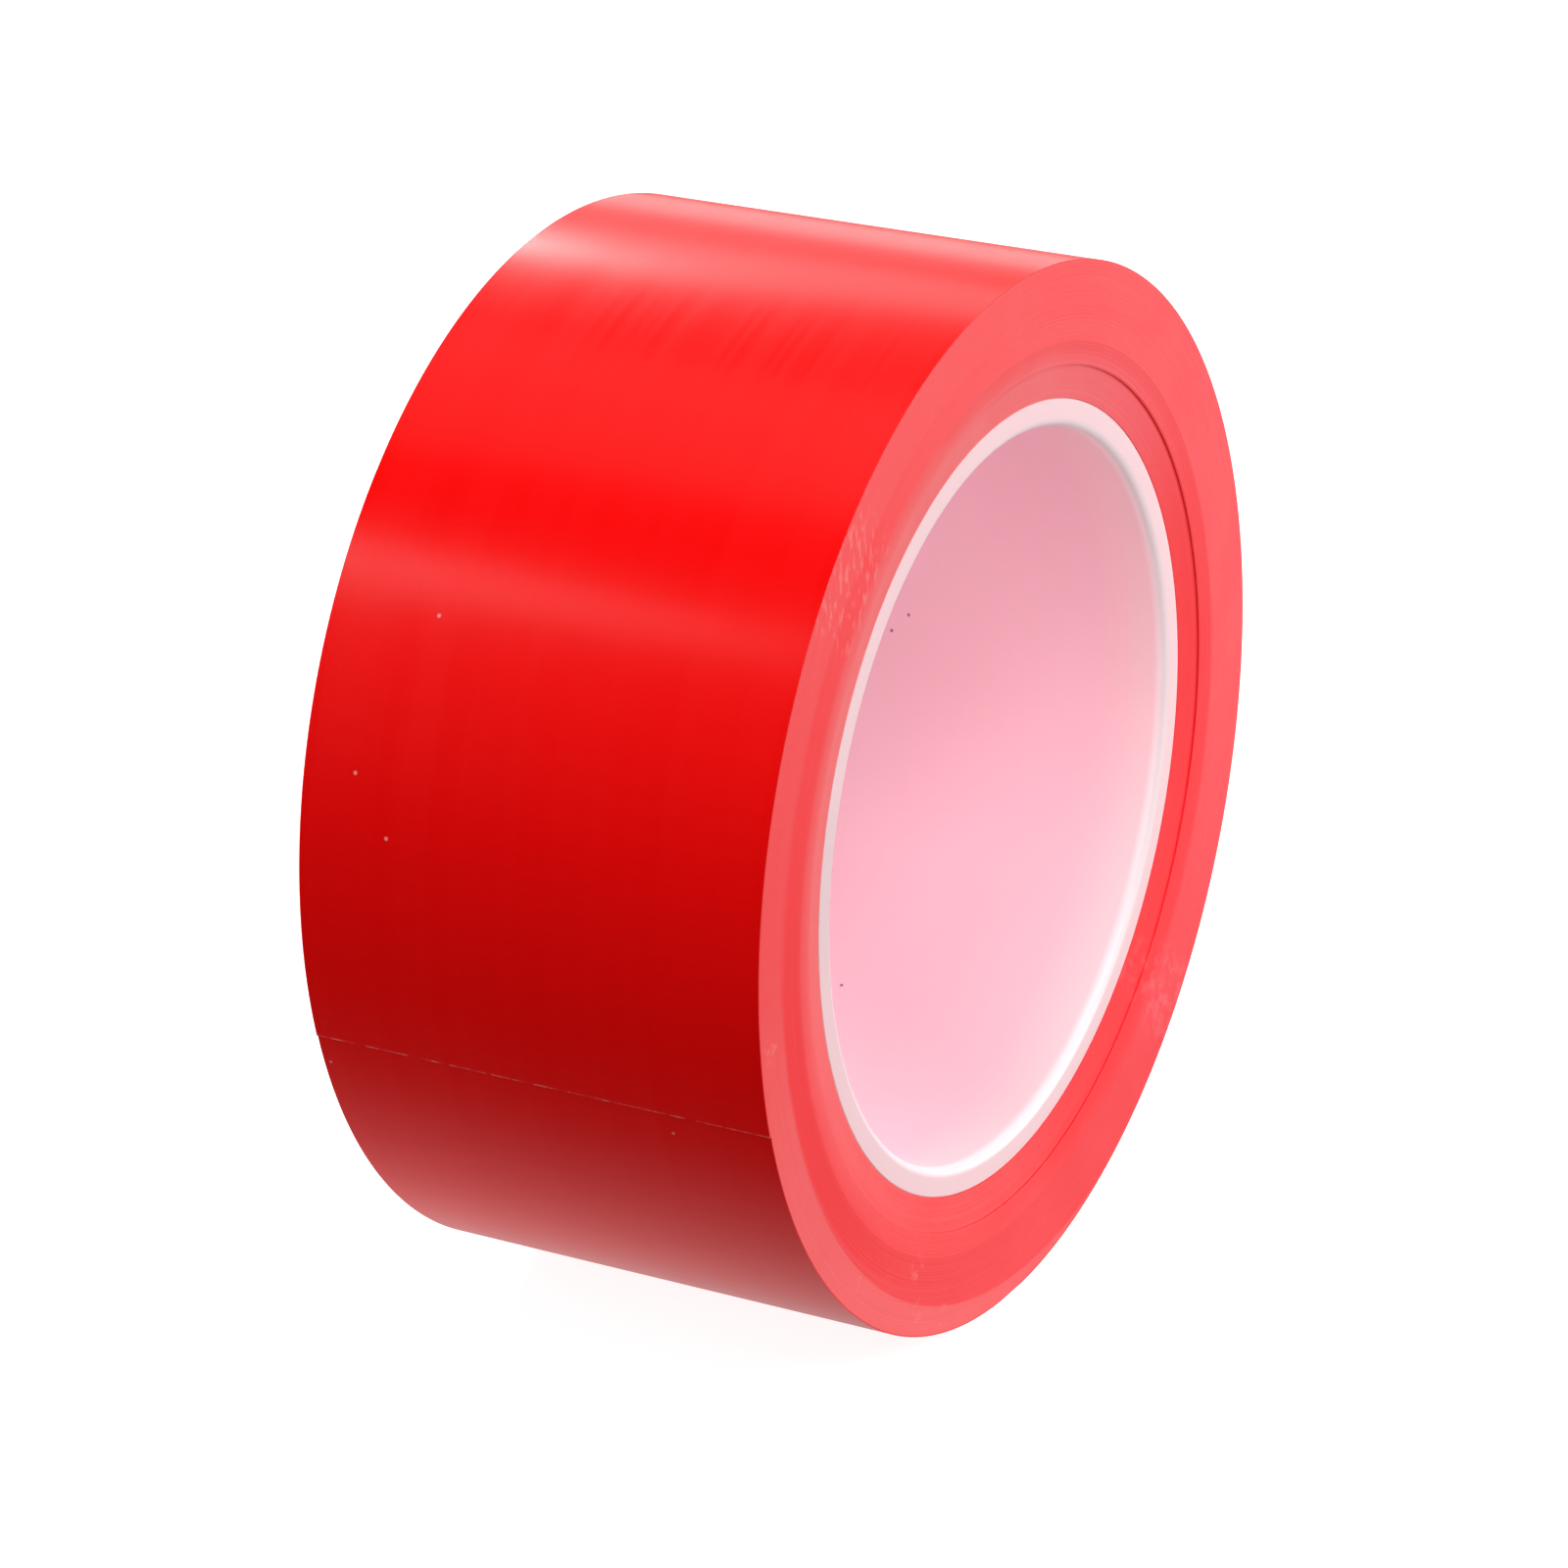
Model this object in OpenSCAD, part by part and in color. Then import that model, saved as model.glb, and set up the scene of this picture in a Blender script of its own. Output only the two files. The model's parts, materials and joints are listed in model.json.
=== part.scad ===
// Roll of vinyl tape on a plastic core, standing on its rim.
// The axle of the roll runs along Y and the front side faces -Y. The origin is
// on the ground, under the middle of the roll. Turn angles are measured about
// the axle from the top (+Z) towards -X. All lengths are in millimetres.

/* [Core] */
// Diameter of the hole through the core (a three-inch core)
core_bore = 76.2; // [50:0.1:100]
// Thickness of the core's wall
core_wall = 3.0; // [2:0.1:6]
// Radius of the rounded lips at both ends of the hole
core_lip = 1.0; // [0.3:0.1:1.5]

/* [Tape] */
// Width of the tape, and of the core
tape_w = 50.8; // [25:0.1:75]
// Thickness of the vinyl film
film_t = 0.10; // [0.08:0.01:0.2]
// Thickness of the adhesive under the film
adhesive_t = 0.03; // [0.02:0.01:0.06]

/* [Winding] */
// Length of tape in the turns next to the core, in metres
inner_len = 7.2; // [3:0.1:10]
// Length of tape in the lower turns, outside the inner turns
lower_len = 5.4; // [3:0.1:8]
// Length of tape in the middle turns, outside the lower turns
middle_len = 8.2; // [3:0.1:10]
// Length of tape in the outer turns, outside the middle turns
outer_len = 12.0; // [3:0.1:30]
// How far the core and the first turn sit behind the front rim
core_set = 1.2; // [0.6:0.1:3]
// How far the last of the inner turns sits behind the front rim
inner_set = 0.5; // [0:0.05:0.6]
// How far the first of the lower turns sits behind the front rim
lower_set = 0.35; // [0:0.05:0.6]
// Width of the flat that the roll's weight presses on its rim, on the ground
flat_w = 5; // [0:0.5:5]

/* [Free end] */
// Turn angle at which the tape ends
end_angle = 106.5; // [60:0.5:160]
// Length of tape that can be peeled off
end_len = 60; // [30:1:90]
// Number of leaves in that length, which let it bend
end_leaves = 8; // [4:1:12]
// Clearance under the leaves and between them
end_gap = 0.02; // [0.02:0.01:0.05]

/* [Hidden] */
$fn = 180;

mm_per_m = 1000;
past = 1; // how far a cutting shape reaches past what it cuts
tape_t = film_t + adhesive_t;
core_r = core_bore / 2 + core_wall;

// Radius of the winding when that length of tape, in metres, is on the core
function wound_r(len) = sqrt(pow(core_r, 2) + len * mm_per_m * tape_t / PI);

inner_r = wound_r(inner_len);
lower_r = wound_r(inner_len + lower_len);
middle_r = wound_r(inner_len + lower_len + middle_len);
outer_r = wound_r(inner_len + lower_len + middle_len + outer_len);

// Outer radius at the end of the tape, where the last turn lies on the others.
// One turn before that, just below the end, it is one tape thickness less.
end_r = outer_r + tape_t;

// The roll is drawn lying on its back, then stood up on its rim. These are the
// heights, while it lies, of the underside of the core and of the wide turns.
core_z = -(tape_w + core_set) / 2;
rim_z = core_z + core_set;

// Height of the axle, with the flat under the roll on the ground
low_r = end_r - 3 / 4 * tape_t;
axle_z = sqrt(pow(low_r, 2) - pow(flat_w / 2, 2)) + cos(end_angle) * tape_t / 4;

// Angle of one leaf, the angle where the free end starts, and half a gap
leaf_step = end_len / end_leaves / end_r * 180 / PI;
peel_angle = end_angle - end_leaves * leaf_step;
half_gap = end_gap / 2 / end_r * 180 / PI;

film_red = [0.86, 0.05, 0.05];
edge_red = [0.98, 0.36, 0.40];
glue_red = [0.75, 0.25, 0.22];
core_white = [0.97, 0.91, 0.91];

module stand_up() {
    translate([0, 0, axle_z]) rotate([90, 0, 0]) children();
}

// Half of the spiral: a half cylinder round a centre that is off the axle by a
// quarter of the tape's thickness. It lies to the right of the seam (side 1),
// which leads up to the end of the tape, or to the left of it (side -1).
module half_spiral(r, side) {
    translate([0, 0, rim_z]) rotate([0, 0, end_angle]) intersection() {
        translate([0, side * tape_t / 4, 0]) cylinder(r = r, h = tape_w);
        translate([side > 0 ? 0 : -2 * r, -2 * r, 0]) cube([2 * r, 4 * r, tape_w]);
    }
}

// Everything inside a spiral that has the radius r where the tape ends, and
// falls by one thickness of tape over one full turn
module spiral(r) {
    half_spiral(r - tape_t / 4, 1);
    half_spiral(r - 3 / 4 * tape_t, -1);
}

// Everything below the ground, while the roll lies on its back
module under_ground() {
    translate([-end_r, -axle_z - end_r, rim_z - past])
        cube([2 * end_r, end_r, tape_w + 2 * past]);
}

// A sector of the roll between two turn angles less than 180 degrees apart
module sector(from, to) {
    reach = 2 * end_r;
    corners = [for (i = [0:4]) let (a = from + (to - from) * i / 4) [-sin(a), cos(a)] * reach];
    translate([0, 0, rim_z - past]) linear_extrude(tape_w + 2 * past)
        polygon(concat([[0, 0]], corners));
}

// Turns of tape between two radii, each end set behind the front rim
module turns(r_in, r_out, set_in, set_out) {
    rotate_extrude() polygon([
        [r_in, rim_z - set_in],
        [r_out, rim_z - set_out],
        [r_out, rim_z - set_out + tape_w],
        [r_in, rim_z - set_in + tape_w],
    ]);
}

module core() {
    lip_r = core_bore / 2 + core_lip;
    color(core_white) stand_up() rotate_extrude() translate([0, core_z]) {
        translate([lip_r, 0]) square([core_r - lip_r, tape_w]);
        translate([core_bore / 2, core_lip]) square([core_lip, tape_w - 2 * core_lip]);
        for (z = [core_lip, tape_w - core_lip]) translate([lip_r, z]) circle(core_lip);
    }
}

module inner_turns() {
    color(edge_red) stand_up() turns(core_r, inner_r, core_set, inner_set);
}

module lower_turns() {
    color(edge_red) stand_up() turns(inner_r, lower_r, lower_set, 0);
}

module middle_turns() {
    color(edge_red) stand_up() turns(lower_r, middle_r, 0, 0);
}

module outer_turns() {
    color(edge_red) stand_up() difference() {
        spiral(end_r - tape_t);
        translate([0, 0, rim_z - past]) cylinder(r = middle_r, h = tape_w + 2 * past);
    }
}

// A layer of the last turn between two depths under its outer surface, without
// the length that can be peeled off
module last_turn(depth_out, depth_in) {
    stand_up() difference() {
        spiral(end_r - depth_out);
        spiral(end_r - depth_in);
        sector(peel_angle - half_gap, end_angle);
        under_ground();
    }
}

module last_turn_film() {
    color(film_red) last_turn(0, film_t);
}

module last_turn_adhesive() {
    color(glue_red) last_turn(film_t, tape_t);
}

// The same layer in one leaf of the free end, raised by the clearance
module leaf(i, depth_out, depth_in) {
    start = peel_angle + (i - 1) * leaf_step;
    stand_up() intersection() {
        difference() {
            half_spiral(end_r - tape_t / 4 + end_gap - depth_out, 1);
            half_spiral(end_r - tape_t / 4 + end_gap - depth_in, 1);
        }
        sector(start + half_gap, start + leaf_step - half_gap);
    }
}

module end_film(i) {
    color(film_red) leaf(i, 0, film_t);
}

module end_adhesive(i) {
    color(glue_red) leaf(i, film_t, tape_t);
}

core();
inner_turns();
lower_turns();
middle_turns();
outer_turns();
last_turn_adhesive();
last_turn_film();
for (i = [1:end_leaves]) {
    end_adhesive(i);
    end_film(i);
}
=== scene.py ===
"""A roll of glossy red vinyl tape on a white core, standing on a white table."""

import json
import math

import bpy
import numpy as np
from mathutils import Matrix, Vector


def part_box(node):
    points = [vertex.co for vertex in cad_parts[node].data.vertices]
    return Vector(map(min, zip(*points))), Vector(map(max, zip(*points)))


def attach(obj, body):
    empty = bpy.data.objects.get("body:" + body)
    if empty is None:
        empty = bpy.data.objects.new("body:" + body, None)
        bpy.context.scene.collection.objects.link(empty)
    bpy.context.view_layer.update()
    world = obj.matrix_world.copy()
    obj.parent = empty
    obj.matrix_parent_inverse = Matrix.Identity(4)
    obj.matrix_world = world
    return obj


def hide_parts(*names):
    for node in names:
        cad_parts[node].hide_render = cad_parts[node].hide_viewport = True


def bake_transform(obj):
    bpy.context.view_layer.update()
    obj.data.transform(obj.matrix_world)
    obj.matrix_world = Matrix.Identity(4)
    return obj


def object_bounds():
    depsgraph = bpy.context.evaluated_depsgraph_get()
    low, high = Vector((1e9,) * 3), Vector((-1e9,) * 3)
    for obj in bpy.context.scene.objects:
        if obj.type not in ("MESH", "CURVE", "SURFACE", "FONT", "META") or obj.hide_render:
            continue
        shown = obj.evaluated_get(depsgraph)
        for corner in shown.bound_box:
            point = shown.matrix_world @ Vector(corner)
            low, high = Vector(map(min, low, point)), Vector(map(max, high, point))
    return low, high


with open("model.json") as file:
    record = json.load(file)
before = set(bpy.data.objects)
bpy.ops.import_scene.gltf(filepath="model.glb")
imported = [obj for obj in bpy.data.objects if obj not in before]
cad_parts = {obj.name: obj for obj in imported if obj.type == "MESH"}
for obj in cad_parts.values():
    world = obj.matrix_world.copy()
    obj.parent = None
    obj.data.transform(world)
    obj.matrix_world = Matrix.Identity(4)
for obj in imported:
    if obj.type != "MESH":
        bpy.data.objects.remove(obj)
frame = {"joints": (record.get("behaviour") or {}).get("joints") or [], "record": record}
cad_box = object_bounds()

MM = 0.001

# ---------------------------------------------------------------- the frame's sizes

core_low, core_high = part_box("core")
CORE_R = (core_high.x - core_low.x) / 2
AXLE_Z = (core_high.z + core_low.z) / 2
FRONT_Y = cad_box[0].y
TAPE_W = core_high.y - core_low.y
CORE_SET = core_low.y - FRONT_Y
BORE = next(m for m in frame["record"]["mounts"] if m["name"] == "core_bore")
BORE_R = BORE["dims"]["r_mm"] * MM
LIP_R = (TAPE_W - BORE["dims"]["length_mm"] * MM) / 2


def outer_radius(node):
    """Outer radius of a ring-shaped CAD node round the axle."""
    low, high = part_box(node)
    return (high.x - low.x) / 2


INNER_R, LOWER_R, MIDDLE_R = map(outer_radius, ("inner_turns", "lower_turns", "middle_turns"))
INNER_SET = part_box("inner_turns")[0].y - FRONT_Y
LOWER_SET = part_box("lower_turns")[1].y - TAPE_W - FRONT_Y
# Three sizes that the frame doesn't state, as in the CAD source: the film, the film
# with its adhesive, and the clearance under the free end.
FILM_T = 0.10 * MM
TAPE_T = 0.13 * MM
END_GAP = 0.02 * MM

# The hinges of the free end lie on its outer surface, at even turn angles.
HINGES = [Vector(j["pos_m"]) for j in frame["joints"]]


def turn_angle(point):
    """Angle about the axle from the top towards -X, in radians."""
    return math.atan2(-point.x, point.z - AXLE_Z)


LEAF_STEP = turn_angle(HINGES[1]) - turn_angle(HINGES[0])
PEEL_ANGLE = turn_angle(HINGES[0])
END_ANGLE = PEEL_ANGLE + len(HINGES) * LEAF_STEP
END_R = math.hypot(HINGES[-1].x, HINGES[-1].z - AXLE_Z) - END_GAP

rng = np.random.default_rng(7)


def spiral_radius(angle, depth=0.0):
    """Radius of the last turn at turn angles in radians, at a depth under its surface."""
    back = END_ANGLE - angle
    leading = back <= math.pi
    side = np.where(leading, 1.0, -1.0)
    drop = np.where(leading, 1 / 4, 3 / 4)
    return END_R - depth - drop * TAPE_T + side * TAPE_T / 4 * np.cos(back)


def at(angle, radius, y):
    """Points at turn angles, radii and places along the axle, as rows of x, y, z."""
    angle, radius, y = np.broadcast_arrays(angle, radius, y)
    return np.stack([-radius * np.sin(angle), y, AXLE_Z + radius * np.cos(angle)], axis=-1)


# ---------------------------------------------------------------- meshes

SHARP = math.radians(35)
RING_STEPS = 480
RING_ANGLES = np.arange(RING_STEPS) * 2 * math.pi / RING_STEPS
# The turn under the free end runs one full turn back from the seam.
SEAM_ANGLES = END_ANGLE - (END_ANGLE - RING_ANGLES) % (2 * math.pi)
# How unevenly the turns lie in the wound side: each turn by itself, its neighbours
# together (averaged over some rows), and in slow waves round the roll
TURN_STRAY = 0.004 * MM
TURN_WANDER = 0.012 * MM
WANDER_ROWS = 10
TURN_WAVE = 0.0015 * MM
WAVES = 4
# Depth of the groove between two turns
GROOVE = 0.005 * MM
CHAMFER = 0.012 * MM


def make_piece(name, points, faces, materials, face_material=None):
    """A mesh object with smooth shading and sharp corners."""
    mesh = bpy.data.meshes.new(name)
    mesh.from_pydata(points.tolist(), [], faces.tolist())
    for material in materials:
        mesh.materials.append(material)
    if face_material is not None:
        mesh.polygons.foreach_set("material_index", face_material)
    mesh.shade_smooth()
    mesh.set_sharp_from_angle(angle=SHARP)
    mesh.validate()
    piece = bpy.data.objects.new(name, mesh)
    bpy.context.scene.collection.objects.link(piece)
    return piece


def tube_faces(rows, around, closed):
    """Quads of a closed section of rows points, swept through around places."""
    row = np.arange(rows)
    place = np.arange(around if closed else around - 1)
    row, place = np.meshgrid(row, place, indexing="ij")
    row_next, place_next = (row + 1) % rows, (place + 1) % around
    corners = [
        row * around + place,
        row * around + place_next,
        row_next * around + place_next,
        row_next * around + place,
    ]
    return np.stack(corners, axis=-1).reshape(-1, 4)


def slow_wave(count, size):
    """count smooth closed waves round the roll, each of about the given size."""
    turns = np.arange(1, WAVES + 1)[:, None]
    phase = rng.uniform(0, 2 * math.pi, (count, WAVES, 1))
    weight = rng.normal(0, 1, (count, WAVES, 1)) / turns
    return size * (weight * np.cos(turns * RING_ANGLES[None, :] + phase)).sum(axis=1)


def side_rows(r_in, r_out, set_in, set_out):
    """Radii and depths of a wound side: each turn's film stands a little proud."""
    turns = round((r_out - r_in) / TAPE_T)
    row_r = r_in + (r_out - r_in) * np.arange(2 * turns + 1) / (2 * turns)
    share = (row_r - r_in) / (r_out - r_in)
    depth = set_in + (set_out - set_in) * share
    stray = np.repeat(rng.normal(0, 1, turns), 2)
    noise = rng.normal(0, 1, 2 * turns + WANDER_ROWS - 1)
    wander = np.convolve(noise, np.ones(WANDER_ROWS) / WANDER_ROWS, "valid")
    depth[:-1] += TURN_STRAY * stray + TURN_WANDER * wander
    depth[0::2] += GROOVE
    depth = depth[:, None] + slow_wave(len(row_r), TURN_WAVE)
    return row_r, np.maximum(depth, 0)  # nothing stands out past the rim


def set_of_rows(set_in, set_out, row_r):
    """How far each row's back edge is pushed back, as its front edge is."""
    share = (row_r - row_r[0]) / (row_r[-1] - row_r[0])
    return (set_in + (set_out - set_in) * share)[:, None]


def wound_ring(name, node, r_in, r_out, set_in, set_out, materials):
    """Wound turns of tape as one closed ring, with two rows of points for each turn."""
    row_r, front = side_rows(r_in, r_out, set_in, set_out)
    _, back = side_rows(r_in, r_out, 0, 0)
    outer = np.broadcast_to(row_r[:, None], front.shape).copy()
    if node == "outer_turns":
        outer[-1] = spiral_radius(SEAM_ANGLES, TAPE_T)
    front_y = FRONT_Y + front
    back_y = FRONT_Y + TAPE_W + set_of_rows(set_in, set_out, row_r) - back
    radius = np.concatenate([outer, outer[::-1]])
    y = np.concatenate([front_y, back_y[::-1]])
    points = at(RING_ANGLES[None, :], radius, y)
    faces = tube_faces(len(radius), RING_STEPS, True)
    on_outside = (faces[:, 0] // RING_STEPS) == len(row_r) - 1
    return make_piece(
        name, points.reshape(-1, 3), faces, materials, on_outside.astype(np.int32)
    )


def arc_band(name, angles, r_out, r_in, y, material):
    """A curved band of tape between two radii, closed at its sides and ends."""
    section = len(y)
    radius = np.concatenate([r_out, r_in[::-1]])
    across = np.concatenate([y, y[::-1]])[:, None]
    points = at(angles[None, :], radius, across)
    around = len(angles)
    faces = [tube_faces(2 * section, around, False)]
    j = np.arange(section - 1)
    for place, flip in ((0, False), (around - 1, True)):
        top, under = j * around + place, (2 * section - 1 - j) * around + place
        cap = np.stack([top, top + around, under - around, under], axis=-1)
        faces.append(cap[:, ::-1] if flip else cap)
    return make_piece(name, points.reshape(-1, 3), np.concatenate(faces), [material])


def band_columns(count):
    """Places across the tape, with a pair at each edge for a fine chamfer."""
    inside = np.linspace(0, TAPE_W, count + 1)[1:-1]
    return FRONT_Y + np.concatenate([[0, CHAMFER], inside, [TAPE_W - CHAMFER, TAPE_W]])


def flat_across(radius, y):
    """Those radii along the tape, the same in every column across it."""
    return np.repeat(radius[None, :], len(y), axis=0)


def chamfered(radius, y):
    """Those radii in every column, a little less at both edges of the tape."""
    table = flat_across(radius, y)
    table[[0, -1]] -= CHAMFER
    return table


# ---------------------------------------------------------------- materials


def tangent(angle):
    """The direction in which the turn angle grows, at that turn angle."""
    return (-math.cos(angle), 0, -math.sin(angle))


FILM_DEEP, FILM_BRIGHT = (0.92, 0.0004, 0.0005), (0.99, 0.0010, 0.0011)
FILM_PALE = (0.95, 0.45, 0.42)
# The second edge colour is painted shade, for the step between turns.
EDGE_DEEP, EDGE_STEP_SHADE = (0.98, 0.006, 0.014), (0.55, 0.004, 0.010)
SALMON, SALMON_RIGHT = (0.99, 0.137, 0.143), (0.99, 0.137, 0.172)
GLUE_DEEP, GLUE_PALE = (0.50, 0.018, 0.016), (0.66, 0.05, 0.04)
# The core's inside and lip colours are painted light.
CORE_RIM, CORE_INSIDE_GLOW, CORE_LIP_LIGHT = (0.97, 0.66, 0.69), (0.97, 0.57, 0.655), (0.99, 0.86, 0.88)
CORE_GREY, CORE_SPECK = (0.72, 0.60, 0.62), (0.16, 0.05, 0.08)

CUT_LINE = 0.24 * MM
SPECK_R = 0.28 * MM
FILM_SPECKS = [
    (degrees, END_R, FRONT_Y + depth * MM)
    for degrees, depth in ((59, 39), (76, 45), (82, 41), (109, 11), (110, 50))
]
CORE_SPECKS = [
    (degrees, BORE_R, FRONT_Y + depth * MM)
    for degrees, depth in ((270.5, 34.1), (273.8, 32.0), (208.9, 29.8))
]
EDGE_MARK_R = 1.8 * MM
EDGE_MARKS = [
    (degrees, radius * MM, FRONT_Y)
    for degrees, radius in ((97, 53.3), (139, 51.9), (153, 48.2), (156, 52.5), (163, 53.0))
]
# The pale crescent of outer turns lies outside a circle that is off the axle.
CRESCENT_CENTRE = (4.1 * MM, 0, 1.5 * MM)
CRESCENT_R = 54.9 * MM
CRESCENT_BLUR = 0.3 * MM


class Pattern:
    """The node tree of one material, with short names for what patterns are made of."""

    def __init__(self, name):
        self.material = bpy.data.materials.new(name)
        self.material.use_nodes = True
        self.tree = self.material.node_tree
        self.shader = self.tree.nodes["Principled BSDF"]
        self.place = self.node("TexCoord").outputs["Object"]

    def node(self, kind):
        return self.tree.nodes.new("ShaderNode" + kind)

    def put(self, value, socket):
        """Links an output to a socket, or sets the socket to a plain value."""
        if isinstance(value, bpy.types.NodeSocket):
            self.tree.links.new(value, socket)
        elif socket.type == "RGBA":
            socket.default_value = (*value, 1)
        else:
            socket.default_value = value

    def math(self, operation, a, b=0.0):
        made = self.node("Math")
        made.operation = operation
        self.put(a, made.inputs[0])
        self.put(b, made.inputs[1])
        return made.outputs[0]

    def vector(self, operation, a, b=(0, 0, 0)):
        made = self.node("VectorMath")
        made.operation = operation
        self.put(a, made.inputs[0])
        self.put(b, made.inputs[1])
        return made.outputs["Value" if operation in ("LENGTH", "DOT_PRODUCT") else "Vector"]

    def noise(self, where, scale, detail=2.0, roughness=0.5):
        made = self.node("TexNoise")
        self.put(where, made.inputs["Vector"])
        made.inputs["Scale"].default_value = scale
        made.inputs["Detail"].default_value = detail
        made.inputs["Roughness"].default_value = roughness
        return made.outputs["Fac"]

    def rise(self, value, low, high, to_low=0.0, to_high=1.0):
        """Rises smoothly from to_low, where value is low, to to_high, where it is high."""
        made = self.node("MapRange")
        made.interpolation_type = "SMOOTHSTEP"
        self.put(value, made.inputs["Value"])
        for name, number in zip(
            ("From Min", "From Max", "To Min", "To Max"), (low, high, to_low, to_high)
        ):
            made.inputs[name].default_value = number
        return made.outputs["Result"]

    def mix(self, factor, a, b):
        made = self.node("Mix")
        made.data_type = "RGBA"
        self.put(factor, made.inputs["Factor"])
        self.put(a, made.inputs[6])
        self.put(b, made.inputs[7])
        return made.outputs[2]

    def times(self, *values):
        product = values[0]
        for value in values[1:]:
            product = self.math("MULTIPLY", product, value)
        return product

    def from_axle(self):
        """The place without its part along the axle, measured from the axle."""
        level = self.vector("SUBTRACT", self.place, (0, 0, AXLE_Z))
        return self.vector("MULTIPLY", level, (1, 0, 1))

    def lobe(self, outward, degrees, width):
        """One near a turn angle, falling smoothly to none at width degrees from it."""
        angle = math.radians(degrees)
        toward = (-math.sin(angle), 0, math.cos(angle))
        facing = self.vector("DOT_PRODUCT", outward, toward)
        return self.rise(facing, math.cos(math.radians(width)), 1)

    def spots(self, places, size):
        """One near any of the places, each a turn angle in degrees, a radius and a y."""
        most = 0.0
        for degrees, radius, y in places:
            centre = tuple(at(math.radians(degrees), radius, y))
            away = self.vector("LENGTH", self.vector("SUBTRACT", self.place, centre))
            most = self.math("MAXIMUM", most, self.rise(away, size, size / 3))
        return most

    def bump(self, height, distance):
        made = self.node("Bump")
        made.inputs["Strength"].default_value = 1.0
        made.inputs["Distance"].default_value = distance
        self.put(height, made.inputs["Height"])
        self.put(made.outputs["Normal"], self.shader.inputs["Normal"])


def film_material(name, cut_line=False):
    """Glossy red vinyl, with faint lengthwise streaks, fine grain and tiny pale specks."""
    p = Pattern(name)
    streaks = p.noise(p.vector("MULTIPLY", p.place, (8, 900, 8)), 1.0, 3)
    mottle = p.noise(p.place, 260, 3)
    grain = p.noise(p.place, 2600, 2)
    shade = p.math("ADD", p.times(streaks, 0.5), p.times(mottle, 0.5))
    colour = p.mix(shade, FILM_DEEP, FILM_BRIGHT)
    pale = p.spots(FILM_SPECKS, SPECK_R)
    if cut_line:
        # The tape is pale along its cut, in a broken line: partly stress-whitened film, partly a
        # painted highlight.
        level = p.from_axle()
        along = p.math("ABSOLUTE", p.vector("DOT_PRODUCT", level, tangent(END_ANGLE)))
        near_end = p.lobe(p.vector("NORMALIZE", level), math.degrees(END_ANGLE), 20)
        across = p.vector("MULTIPLY", p.place, (0, 1, 0))
        broken = p.rise(p.noise(across, 420, 4, 0.7), 0.4, 0.72)
        pale = p.math("MAXIMUM", p.times(p.rise(along, CUT_LINE, 0.0), near_end, broken), pale)
    colour = p.mix(p.times(pale, 0.7), colour, FILM_PALE)
    p.put(colour, p.shader.inputs["Base Color"])
    p.put(p.rise(streaks, 0.3, 0.7, 0.21, 0.235), p.shader.inputs["Roughness"])
    p.bump(p.math("ADD", grain, mottle), 0.0012 * MM)
    return p.material


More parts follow.
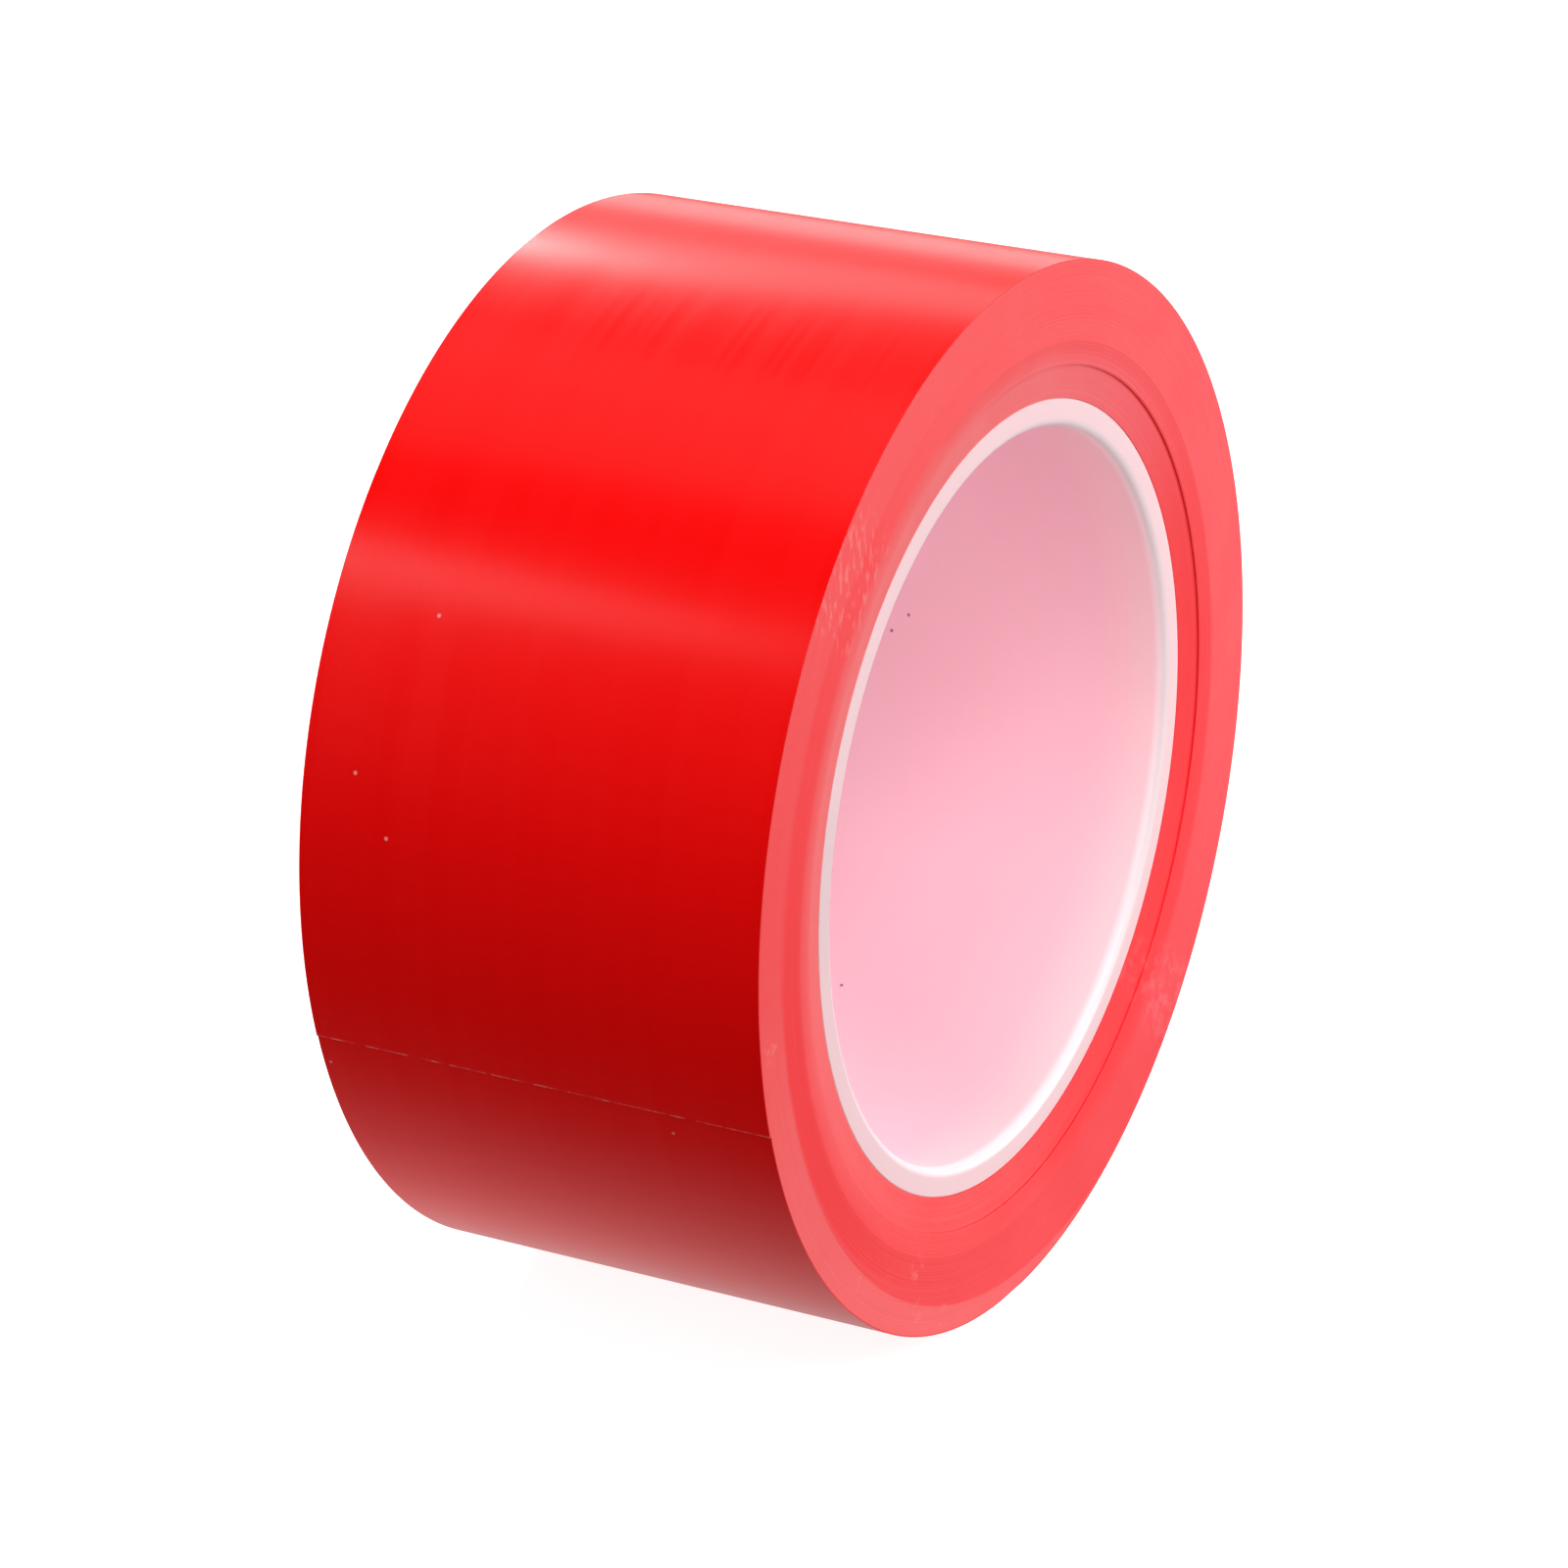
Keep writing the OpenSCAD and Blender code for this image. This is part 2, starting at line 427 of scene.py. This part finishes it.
def edge_material():
    """The wound side: salmon film edges in fine rings, darker and paler bands, partly painted
    light and shade.
    """
    p = Pattern("tape_edges_salmon")
    level = p.from_axle()
    radius = p.vector("LENGTH", level)
    outward = p.vector("NORMALIZE", level)
    # Rings: noise that runs fast across the turns and slowly along them.
    ring_place = p.node("CombineXYZ")
    p.put(p.times(radius, 1 / TAPE_T * 0.5), ring_place.inputs[0])
    p.put(p.vector("DOT_PRODUCT", outward, (1.1, 0, 0)), ring_place.inputs[1])
    p.put(p.vector("DOT_PRODUCT", outward, (0, 0, 1.1)), ring_place.inputs[2])
    rings = p.noise(ring_place.outputs[0], 1.0, 4, 0.65)
    cloud = p.noise(p.place, 110, 4, 0.6)
    grain = p.noise(p.place, 900, 3, 0.6)
    # A crescent of the outermost turns looks paler.
    off_axle = p.vector("LENGTH", p.vector("SUBTRACT", level, CRESCENT_CENTRE))
    crescent = p.rise(off_axle, CRESCENT_R, CRESCENT_R + CRESCENT_BLUR)
    crescent = p.times(crescent, p.lobe(outward, 152, 72), 0.45)
    # Painted shade: a darker band of turns on the left.
    band = p.times(
        p.rise(radius, LOWER_R - 0.6 * MM, LOWER_R + 1.0 * MM),
        p.rise(radius, MIDDLE_R + 0.5 * MM, MIDDLE_R - 0.6 * MM),
    )
    band = p.times(band, p.lobe(outward, 85, 80), -0.26)
    # Painted light on the turns near the core, and painted shade on the inner turns low on the
    # right.
    near_core = p.rise(radius, LOWER_R, INNER_R - 1.2 * MM)
    painted_light_inside = p.times(near_core, p.lobe(outward, 45, 135), 0.52)
    wide_inside = p.rise(radius, LOWER_R + 1.5 * MM, INNER_R)
    painted_shade_inside = p.times(wide_inside, p.lobe(outward, 247, 75), -0.40)
    # Painted shade: the step between the inner and the lower turns shows as a dark line on the
    # right.
    step_shade = p.math("ABSOLUTE", p.math("SUBTRACT", radius, INNER_R))
    step_shade = p.times(p.rise(step_shade, 0.3 * MM, 0.08 * MM), p.lobe(outward, 298, 45))
    # Painted highlights of the fine rings: short slanted strokes high on the left, streaks low on
    # the right.
    slant = p.vector("MULTIPLY", p.place, (1500, 0, 520))
    strokes = p.rise(p.noise(slant, 1.0, 2, 0.5), 0.5, 0.68)
    ring_highlight_left = p.times(strokes, p.lobe(outward, 46, 10), p.rise(radius, INNER_R, LOWER_R), 0.75)
    streaks = p.rise(p.noise(p.place, 700, 3, 0.6), 0.42, 0.66)
    ring_highlight_right = p.times(streaks, p.lobe(outward, 226, 7), 0.34)
    marks = p.times(p.rise(grain, 0.5, 0.62), p.spots(EDGE_MARKS, EDGE_MARK_R), 0.5)
    total = p.math("ADD", p.times(rings, 0.34), p.times(cloud, 0.34))
    total = p.math("ADD", total, p.times(grain, 0.12))
    for part in (crescent, band, painted_light_inside, painted_shade_inside, ring_highlight_left, ring_highlight_right, marks):
        total = p.math("ADD", total, part)
    pale = p.math("SUBTRACT", total, p.math("ADD", step_shade, 0.12))
    salmon = p.mix(p.lobe(outward, 270, 110), SALMON, SALMON_RIGHT)
    colour = p.mix(p.rise(pale, -0.1, 1.1), EDGE_DEEP, salmon)
    # The dark line of the step is painted shade.
    colour = p.mix(p.times(step_shade, 0.3), colour, EDGE_STEP_SHADE)
    p.put(colour, p.shader.inputs["Base Color"])
    p.put(p.rise(cloud, 0.3, 0.7, 0.42, 0.55), p.shader.inputs["Roughness"])
    p.bump(p.math("ADD", rings, p.times(grain, 0.5)), 0.004 * MM)
    return p.material


def adhesive_material():
    """Tacky rubber adhesive, duller than the film."""
    p = Pattern("tape_adhesive_red")
    patches = p.noise(p.place, 900, 4)
    colour = p.mix(patches, GLUE_DEEP, GLUE_PALE)
    p.put(colour, p.shader.inputs["Base Color"])
    p.put(p.rise(patches, 0.3, 0.7, 0.36, 0.5), p.shader.inputs["Roughness"])
    p.bump(patches, 0.006 * MM)
    return p.material


def core_material():
    """White plastic with painted red light from the tape: pink inside the hole, paler at its ends.
    """
    p = Pattern("core_plastic_white")
    depth = p.math("ADD", p.vector("DOT_PRODUCT", p.place, (0, 1, 0)), -(FRONT_Y + CORE_SET))
    from_end = p.math("MINIMUM", depth, p.math("SUBTRACT", TAPE_W, depth))
    # Painted light: the tape's red light through the plastic, pinker deeper in the hole.
    pink_glow = p.rise(from_end, 0.6 * MM, 9 * MM)
    cloud = p.noise(p.place, 90, 3)
    pink_glow = p.math("MULTIPLY", pink_glow, p.math("ADD", p.times(cloud, 0.2), 0.9))
    colour = p.mix(pink_glow, CORE_RIM, CORE_INSIDE_GLOW)
    level = p.from_axle()
    outward = p.vector("NORMALIZE", level)
    # Painted light: the rounded lip of the hole is painted the palest part.
    lip_light = p.rise(p.vector("LENGTH", level), BORE_R + LIP_R, BORE_R + 0.4 * LIP_R)
    lip_light = p.times(lip_light, p.rise(from_end, 1.6 * MM, 0.6 * MM))
    colour = p.mix(lip_light, colour, CORE_LIP_LIGHT)
    on_rim = p.rise(from_end, 1.0 * MM, 0.2 * MM)
    grey = p.times(p.lobe(outward, 84, 16), on_rim, 0.35)
    colour = p.mix(grey, colour, CORE_GREY)
    colour = p.mix(p.times(p.spots(CORE_SPECKS, SPECK_R), 0.85), colour, CORE_SPECK)
    p.put(colour, p.shader.inputs["Base Color"])
    p.put(p.rise(cloud, 0.3, 0.7, 0.28, 0.38), p.shader.inputs["Roughness"])
    p.bump(p.noise(p.place, 1500, 2), 0.003 * MM)
    return p.material


FILM = film_material("tape_film_red")
CUT_FILM = film_material("tape_film_cut_end", cut_line=True)
EDGES = edge_material()
ADHESIVE = adhesive_material()
CORE = core_material()

# ---------------------------------------------------------------- the core

LIP_PLACES = 9
WALL_PLACES = 24
EDGE_BREAK = 0.15 * MM


def core_section():
    """Radius and place along the axle of the core's outline, with rounded lips."""
    quarter = np.linspace(0, math.pi / 2, LIP_PLACES)
    front, back = FRONT_Y + CORE_SET, FRONT_Y + CORE_SET + TAPE_W
    wall = np.linspace(front + LIP_R, back - LIP_R, WALL_PLACES + 2)[1:-1]
    lip_front = [
        (BORE_R + LIP_R - LIP_R * math.sin(a), front + LIP_R - LIP_R * math.cos(a))
        for a in quarter
    ]
    lip_back = [(r, front + back - y) for r, y in reversed(lip_front)]
    outline = [(CORE_R - EDGE_BREAK, front), *lip_front, *[(BORE_R, y) for y in wall]]
    outline += [*lip_back, (CORE_R - EDGE_BREAK, back)]
    outline += [(CORE_R, back - EDGE_BREAK), (CORE_R, front + EDGE_BREAK)]
    return np.array(outline)


def make_core():
    section = core_section()
    radius = np.repeat(section[:, :1], RING_STEPS, axis=1)
    points = at(RING_ANGLES[None, :], radius, section[:, 1:])
    faces = tube_faces(len(section), RING_STEPS, True)
    piece = make_piece("core_ring", points.reshape(-1, 3), faces[:, ::-1], [CORE])
    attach(piece, "roll")
    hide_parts("core")


make_core()

# ---------------------------------------------------------------- the wound turns

RINGS = {
    "inner_turns": (CORE_R, INNER_R, CORE_SET, INNER_SET),
    "lower_turns": (INNER_R, LOWER_R, LOWER_SET, 0.0),
    "middle_turns": (LOWER_R, MIDDLE_R, 0.0, 0.0),
    "outer_turns": (MIDDLE_R, END_R - TAPE_T, 0.0, 0.0),
}
for node, sizes in RINGS.items():
    ring = wound_ring("wound_" + node, node, *sizes, [EDGES, FILM])
    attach(ring, "roll")
    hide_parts(node)

# ---------------------------------------------------------------- the last turn

TURN_COLUMNS = 12
TURN_PLACES = 1193
# The ground is out of reach where the radius leans more than 60 degrees from straight down.
LEAST_DOWN = 0.5


def make_last_turn():
    angles = np.linspace(END_ANGLE - 2 * math.pi, PEEL_ANGLE, TURN_PLACES)
    y = band_columns(TURN_COLUMNS)
    # The film is flat on the ground, as in the CAD.
    to_ground = AXLE_Z / np.maximum(-np.cos(angles), LEAST_DOWN)
    top = np.minimum(spiral_radius(angles), to_ground)
    under_film = flat_across(spiral_radius(angles, FILM_T), y)
    film = arc_band("last_turn_film_band", angles, chamfered(top, y), under_film, y, FILM)
    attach(film, "roll")
    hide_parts("last_turn_film")
    inside = flat_across(spiral_radius(angles, TAPE_T), y)
    adhesive = arc_band("last_turn_adhesive_band", angles, under_film, inside, y, ADHESIVE)
    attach(adhesive, "roll")
    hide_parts("last_turn_adhesive")


make_last_turn()

# ---------------------------------------------------------------- the free end

LEAF_PLACES = 33


def middle_of_tape(angle):
    """The point on the free end's outer surface at that turn angle, at half its width."""
    return Vector(at(angle, spiral_radius(angle), FRONT_Y + TAPE_W / 2))


def make_end_band(number, first, last, bodies):
    """One length of the free end, film and adhesive, from one turn angle to another."""
    angles = np.linspace(first, last, LEAF_PLACES)
    y = band_columns(TURN_COLUMNS)
    lifted = np.clip((angles - PEEL_ANGLE) / (LEAF_STEP / 2), 0, 1)
    top = spiral_radius(angles) + END_GAP * lifted * lifted * (3 - 2 * lifted)
    film = FILM if len(bodies) == 2 else CUT_FILM
    layers = (
        ("film", chamfered(top, y), top - FILM_T, film),
        ("adhesive", flat_across(top - FILM_T, y), top - TAPE_T, ADHESIVE),
    )
    for layer, outside, inside, material in layers:
        inside = flat_across(inside, y)
        band = arc_band(f"end_{layer}_band_{number}", angles, outside, inside, y, material)
        if len(bodies) == 2:
            middle_of_tape(first)
            middle_of_tape(last)
            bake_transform(band)
        else:
            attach(band, bodies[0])
        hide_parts(f"end_{layer}_{min(number, len(HINGES))}")


def make_free_end():
    leaves = ["roll"] + [f"tape_end_{i + 1}" for i in range(len(HINGES))]
    half = LEAF_STEP / 2
    for i in range(len(HINGES)):
        hinge = PEEL_ANGLE + i * LEAF_STEP
        first = hinge if i == 0 else hinge - half
        make_end_band(i + 1, first, hinge + half, leaves[i : i + 2])
    make_end_band(len(HINGES) + 1, END_ANGLE - half, END_ANGLE, leaves[-1:])


make_free_end()

# ---------------------------------------------------------------- camera

CAMERA_AT = Vector((-501.82, -268.27, 276.77)) * MM
CAMERA_AIM = Vector((-10.2, -4.5, 56.66)) * MM
CAMERA_LENS = 135.95
CAMERA_SENSOR = 36
CAMERA_NEAREST = 0.01
camera = bpy.data.objects.new("camera", bpy.data.cameras.new("camera"))
camera.data.lens = CAMERA_LENS
camera.data.sensor_width = CAMERA_SENSOR
camera.data.clip_start = CAMERA_NEAREST
camera.location = CAMERA_AT
camera.rotation_euler = (CAMERA_AIM - CAMERA_AT).to_track_quat("-Z", "Y").to_euler()
bpy.context.scene.collection.objects.link(camera)
bpy.context.scene.camera = camera

# ---------------------------------------------------------------- floor and light

LOOK_AT = Vector((0, 0, AXLE_Z))
FLOOR_HALF = 6.0
FLOOR_GREY = (0.5, 0.5, 0.5, 1)
FLOOR_GLOW = 0.88
# How far from the roll the table is lit
LIT_REACH = (0.45, 0.75, 1.0, 0.0)
# From one place to another, and the share or brightness at each. The table looks white
# to the camera, but this is how it shows in the film, along x ...
SHEEN_LEFT = (-72 * MM, -28 * MM, 0.0, 0.5)
SHEEN_RIGHT = (60 * MM, 200 * MM, 1.0, 2.2)
# ... and how it lights the roll from beneath, along x and then along y.
BOUNCE_LEFT = (-95 * MM, -40 * MM, 0.08, 0.85)
BOUNCE_RIGHT = (20 * MM, 80 * MM, 1.0, 1.3)
BOUNCE_BACK = (-80 * MM, 110 * MM, 0.55, 1.5)
# The far walls look pale to the camera, but hardly light the roll.
WALLS_SEEN = 0.95
WALLS_LIGHT = 0.01


def softbox(name, toward, distance, width, height, brightness):
    """A rectangular lamp that faces the roll, with a surface of that brightness."""
    data = bpy.data.lights.new(name, "AREA")
    data.shape = "RECTANGLE"
    data.size, data.size_y = width, height
    data.energy = brightness * math.pi * width * height
    lamp = bpy.data.objects.new(name, data)
    lamp.location = LOOK_AT + Vector(toward).normalized() * distance
    lamp.rotation_euler = (LOOK_AT - lamp.location).to_track_quat("-Z", "Y").to_euler()
    bpy.context.scene.collection.objects.link(lamp)


def make_floor():
    """A white table that glows. The film mirrors it, and is lit by it, only near the roll."""
    square = ((-1, -1, 0), (1, -1, 0), (1, 1, 0), (-1, 1, 0))
    corners = np.array(square) * FLOOR_HALF
    p = Pattern("table_white")
    seen = p.node("BsdfDiffuse")
    seen.inputs["Color"].default_value = FLOOR_GREY
    glow, sheen, bounce = p.node("Emission"), p.node("Emission"), p.node("Emission")
    glow.inputs["Strength"].default_value = FLOOR_GLOW
    x = p.vector("DOT_PRODUCT", p.place, (1, 0, 0))
    near = p.rise(p.vector("LENGTH", p.place), *LIT_REACH)
    p.put(p.times(near, p.rise(x, *SHEEN_LEFT), p.rise(x, *SHEEN_RIGHT)), sheen.inputs["Strength"])
    back = p.rise(p.vector("DOT_PRODUCT", p.place, (0, 1, 0)), *BOUNCE_BACK)
    under = p.times(near, back, p.rise(x, *BOUNCE_LEFT), p.rise(x, *BOUNCE_RIGHT))
    p.put(under, bounce.inputs["Strength"])
    white, mirrored, table = p.node("AddShader"), p.node("MixShader"), p.node("MixShader")
    p.put(seen.outputs[0], white.inputs[0])
    p.put(glow.outputs[0], white.inputs[1])
    ray = p.node("LightPath")
    p.put(ray.outputs["Is Glossy Ray"], mirrored.inputs["Fac"])
    p.put(bounce.outputs[0], mirrored.inputs[1])
    p.put(sheen.outputs[0], mirrored.inputs[2])
    p.put(ray.outputs["Is Camera Ray"], table.inputs["Fac"])
    p.put(mirrored.outputs[0], table.inputs[1])
    p.put(white.outputs[0], table.inputs[2])
    p.put(table.outputs[0], p.tree.nodes["Material Output"].inputs["Surface"])
    floor = make_piece("table", corners, np.array([[0, 1, 2, 3]]), [p.material])


make_floor()

LAMPS = {
    # direction from the roll, distance, width, height and brightness of each soft lamp
    "key": ((-0.22, -0.64, 0.73), 1.2, 0.7, 0.7, 5.5),
    "left": ((-0.85, -0.30, 0.40), 1.2, 0.7, 0.7, 1.9),
    "front_low": ((0.70, -0.70, 0.15), 1.2, 0.6, 0.4, 10.0),
    "top": ((0.0, 0.0, 1.0), 1.2, 0.7, 0.7, 4.6),
    "top_right": ((0.60, 0.10, 0.80), 1.2, 0.6, 0.6, 0.4),
    "top_back": ((0.0, 0.60, 0.80), 1.2, 0.6, 0.6, 0.3),
    "back_left": ((-0.50, 0.80, 0.20), 1.2, 0.6, 0.6, 3.7),
    "wall_right": ((0.88, 0.44, 0.05), 1.4, 1.2, 0.5, 0.95),
    "strip_right_near": ((0.680, 0.465, 0.566), 1.035, 0.30, 0.25, 1.2),
    "strip_right_far": ((0.585, 0.649, 0.487), 1.205, 0.35, 0.25, 27.0),
    "strip_right_low": ((0.786, 0.534, 0.312), 1.078, 0.80, 0.30, 0.45),
    "strip_left_near": ((-0.560, 0.528, 0.638), 1.099, 0.30, 0.09, 2.1),
    "strip_left_far": ((-0.531, 0.651, 0.543), 1.230, 0.30, 0.10, 7.7),
}
for name, lamp in LAMPS.items():
    softbox(name, *lamp)



def make_walls():
    """White walls far off, whose brightness differs between the camera and the light."""
    world = bpy.data.worlds.new("studio")
    world.use_nodes = True
    tree = world.node_tree
    light, seen = tree.nodes["Background"], tree.nodes.new("ShaderNodeBackground")
    for background, strength in ((light, WALLS_LIGHT), (seen, WALLS_SEEN)):
        background.inputs["Color"].default_value = (1, 1, 1, 1)
        background.inputs["Strength"].default_value = strength
    ray, walls = tree.nodes.new("ShaderNodeLightPath"), tree.nodes.new("ShaderNodeMixShader")
    tree.links.new(ray.outputs["Is Camera Ray"], walls.inputs["Fac"])
    tree.links.new(light.outputs[0], walls.inputs[1])
    tree.links.new(seen.outputs[0], walls.inputs[2])
    tree.links.new(walls.outputs[0], tree.nodes["World Output"].inputs["Surface"])
    bpy.context.scene.world = world


make_walls()
bpy.context.scene.view_settings.view_transform = "Standard"
